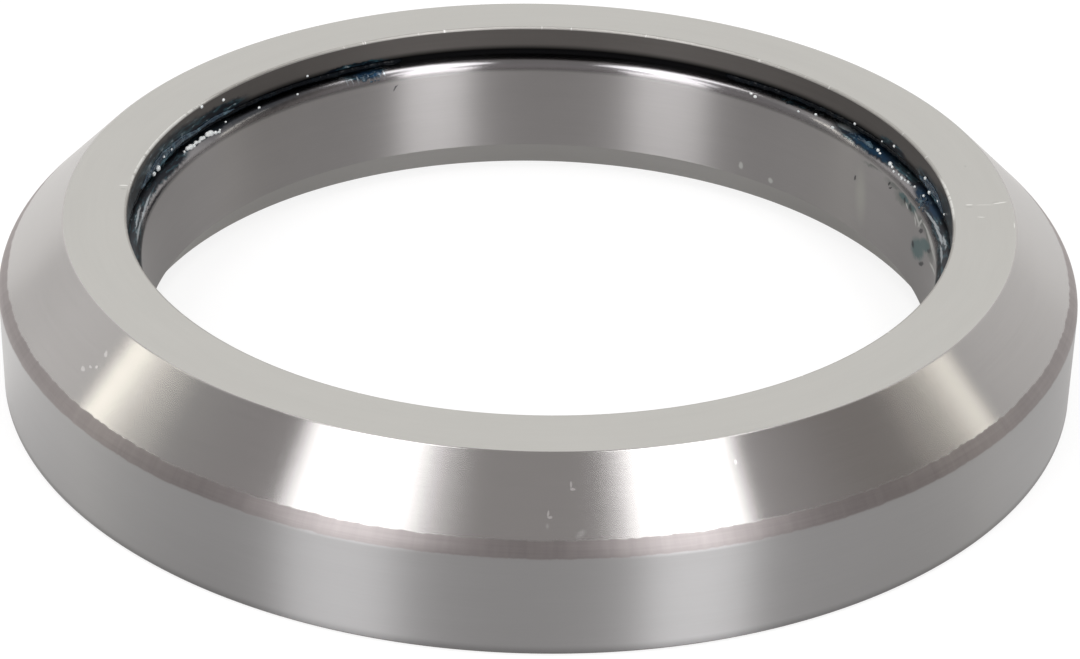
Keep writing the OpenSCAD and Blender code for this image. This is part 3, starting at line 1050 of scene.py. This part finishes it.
# Marks on the top face, each (azimuth, radius, half length, half width outwards, tilt)
FACE_SCRATCHES = placed(
    on_face,
    (91.2, 16.9, 0.02, 0.45, 2), (-91.8, 15.88, 0.06, 0.21), (91.2, 16.32, 0.05, 0.17, 3),
    (91.8, 17.52, 0.05, 0.37, 18), (87.8, 16.68, 0.03, 0.19), (86.0, 17.90, 0.30, 0.02))
# Painted shadows beside the scratches, and one dull spot
FACE_SHADOWS_AND_SPOT = placed(
    on_face,
    (-90.8, 15.84, 0.10, 0.19), (90.6, 16.30, 0.08, 0.25), (92.0, 17.35, 0.05, 0.22, 18),
    (102.2, 16.88, 0.10, 0.08))

# Marks in the bore, each (azimuth, height, half length, half height, tilt)
BORE_STREAKS = placed(
    in_bore,
    (94.2, 4.49, 1.6, 0.17, -8), (93.0, 4.60, 1.5, 0.10, -1), (102.2, 4.33, 0.60, 0.13, -20),
    (100.8, 4.35, 0.09, 0.50, -40), (89.8, 3.91, 1.3, 0.10, 15), (103.0, 4.13, 0.10, 0.28, 41),
    (106.8, 4.29, 0.21, 0.08, -33), (89.0, 4.50, 0.88, 0.09, 4), (97.5, 4.58, 0.84, 0.07, 1),
    (146.3, 1.74, 0.13, 0.22), (140.6, 1.52, 0.16, 0.17))
# A painted highlight: a soft pale patch in the bore
BORE_PAINTED_HIGHLIGHT = placed(in_bore, (120.8, 2.97, 0.55, 1.7, 5))
BORE_SMUDGES = placed(
    in_bore,
    (108.5, 4.38, 1.0, 0.40, 9), (99.5, 4.55, 1.1, 0.35, 14), (96.8, 4.40, 0.9, 0.25, -7),
    (111.5, 4.56, 1.0, 0.22, 6), (118.0, 4.62, 1.0, 0.14, 10), (94.0, 4.10, 1.4, 0.5, 10),
    (104.5, 4.42, 0.8, 0.32, 12))
BORE_PATCHES = placed(
    in_bore,
    (100.8, 3.21, 1.15, 0.55, 23), (97.3, 3.85, 1.15, 0.36, 23), (104.8, 4.45, 0.60, 0.22, 12),
    (108.0, 4.50, 0.60, 0.20, 8))
BORE_SPECKS = placed(
    in_bore,
    (98.5, 2.87, 0.56, 0.13, 29), (94.5, 4.01, 0.52, 0.10, 29), (103.2, 3.07, 0.19, 0.24, 28),
    (100.0, 4.11, 0.47, 0.12, 29), (105.5, 4.37, 0.24, 0.18, -4), (107.8, 4.40, 0.16, 0.17, -36),
    (113.2, 4.46, 0.06, 0.20, -33), (112.8, 4.31, 0.22, 0.05, 27), (122.5, 3.55, 0.10, 0.17, -23),
    (-156.0, 4.41, 0.035, 0.20, -37))

# Marks on the rim, each (radius, azimuth, height, half length, half height, tilt)
RIM_FILMS = placed(
    on_wall,
    (15.6, -151.2, 5.08, 1.4, 0.40), (15.6, -99.0, 5.21, 4.4, 0.26), (15.6, -84.0, 5.10, 3.2, 0.46),
    (15.6, -118, 5.19, 3.2, 0.14), (15.6, -108.0, 5.14, 2.4, 0.30), (15.6, 95.0, 5.17, 3.4, 0.42),
    (15.6, 83.0, 5.10, 3.2, 0.46), (15.6, 121.0, 5.15, 3.2, 0.32), (15.6, 103.0, 5.10, 1.6, 0.40),
    (15.6, 111.5, 5.19, 2.4, 0.20), (15.6, 138.0, 5.19, 2.6, 0.07))
RIM_STRANDS = placed(
    on_wall,
    (15.35, -154.4, 5.03, 0.04, 0.16), (15.35, -153.4, 5.02, 0.12, 0.15),
    (15.35, -152.6, 5.00, 0.04, 0.18, 8), (15.35, -151.7, 5.00, 0.045, 0.20),
    (15.35, -150.8, 5.00, 0.04, 0.18, -6), (15.35, -149.8, 4.98, 0.05, 0.19),
    (15.35, -148.8, 4.98, 0.04, 0.16, 5), (15.35, -147.9, 4.97, 0.04, 0.14),
    (15.3, 97.0, 5.02, 1.2, 0.04, 4), (15.35, 92.0, 5.06, 1.3, 0.04, 2),
    (15.3, -95.5, 5.04, 1.4, 0.035, 2), (15.3, -88.5, 5.02, 1.1, 0.04),
    (15.45, -92.0, 5.11, 1.2, 0.02, 1), (15.3, 86.5, 5.03, 0.9, 0.04),
    (15.45, 89.5, 5.12, 0.7, 0.02), (15.5, 127.0, 5.15, 0.8, 0.05))
# Painted shade along the foot of the rim's round at the left, with darker patches and dark spots higher on
# the rim
RIM_SHADE_AND_DARK_PATCHES = placed(
    on_wall,
    (15.5, -130.2, 5.18, 5.4, 0.38), (15.14, -98.0, 4.86, 2.6, 0.06), (15.14, -88.0, 4.82, 1.6, 0.10),
    (15.45, 92.5, 5.12, 0.45, 0.03), (15.37, 88.5, 5.09, 0.40, 0.04), (15.5, -83.5, 5.14, 1.2, 0.10))
RIM_BLUES = placed(
    on_wall,
    (15.5, 103.6, 5.12, 1.1, 0.26), (15.55, 99.0, 5.14, 1.1, 0.24), (15.5, 120.5, 5.12, 2.2, 0.22),
    (15.5, -151.8, 5.04, 0.9, 0.24))

# Marks on the lip and its upper edge, each (azimuth, height, half length, half height)
LIP_FILMS = placed(
    on_lip,
    (-104.0, 5.72, 6.0, 0.62), (-122.0, 5.66, 2.6, 0.40), (-90.0, 5.80, 2.4, 0.62),
    (102.5, 5.62, 1.9, 0.48), (91.5, 5.80, 3.0, 0.70), (-150.0, 5.52, 1.8, 0.16),
    (116.0, 5.62, 1.2, 0.26))
LIP_SHINE = placed(on_lip, (-102.5, 5.70, 1.7, 0.34), (-111.5, 5.82, 2.0, 0.26), (103.5, 5.66, 0.8, 0.26))
EDGE_GLINTS = placed(on_lip, (-106, HEIGHT - 0.03, 5.4, 0.06), (93, HEIGHT - 0.03, 2.2, 0.06))

# Marks on the grease in the gap, each (radius, azimuth, height, half length, half height)
GAP_NAVY = placed(on_wall, (GAP_R, -106.0, 5.42, 2.2, 0.26), (GAP_R, 101.0, 5.42, 1.4, 0.24))

add_camera()
add_world()
add_floor()
for name, lamp in LAMPS.items():
    add_lamp(name, *lamp)

inner_seat_steel = steel("inner_seat_steel", INNER_SEAT_COLOUR,
                         roughness=0.45, anisotropy=0.8, line_scale=12.0, line_bump=0.15)
blank_steel = steel("blank_steel", BLANK_COLOUR,
                    roughness=0.5, anisotropy=0.2, line_scale=6.0, line_bump=0.3)
race_steel = steel("race_steel", RACE_COLOUR,
                   roughness=0.18, anisotropy=0.5, line_scale=14.0, line_bump=0.05)

outer_ring(face_finish(), outside_finish(), blank_steel, edge_finish(), lip_finish(), race_steel)
inner_ring(bore_finish(), inner_seat_steel, blank_steel, rim_finish(), race_steel)
dress(moulded("cage_nylon", CAGE_COLOUR, roughness=0.45, grain=5000.0), "cage")
dress(moulded("seal_rubber", SEAL_COLOUR, roughness=0.7, grain=7000.0, specular=0.05),
      "upper_seal", "lower_seal")
dress(ball_finish(), *(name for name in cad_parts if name.startswith("ball_")))
add_grease(grease_finish("grease_dark", GREASE_BLACK, specular=0.15, navy=GAP_NAVY),
           grease_finish("grease_teal", GREASE_TEAL),
           grease_finish("grease_pale_sparkle", GREASE_PALE_SPARKLE))

bpy.context.scene.view_settings.view_transform = "Standard"
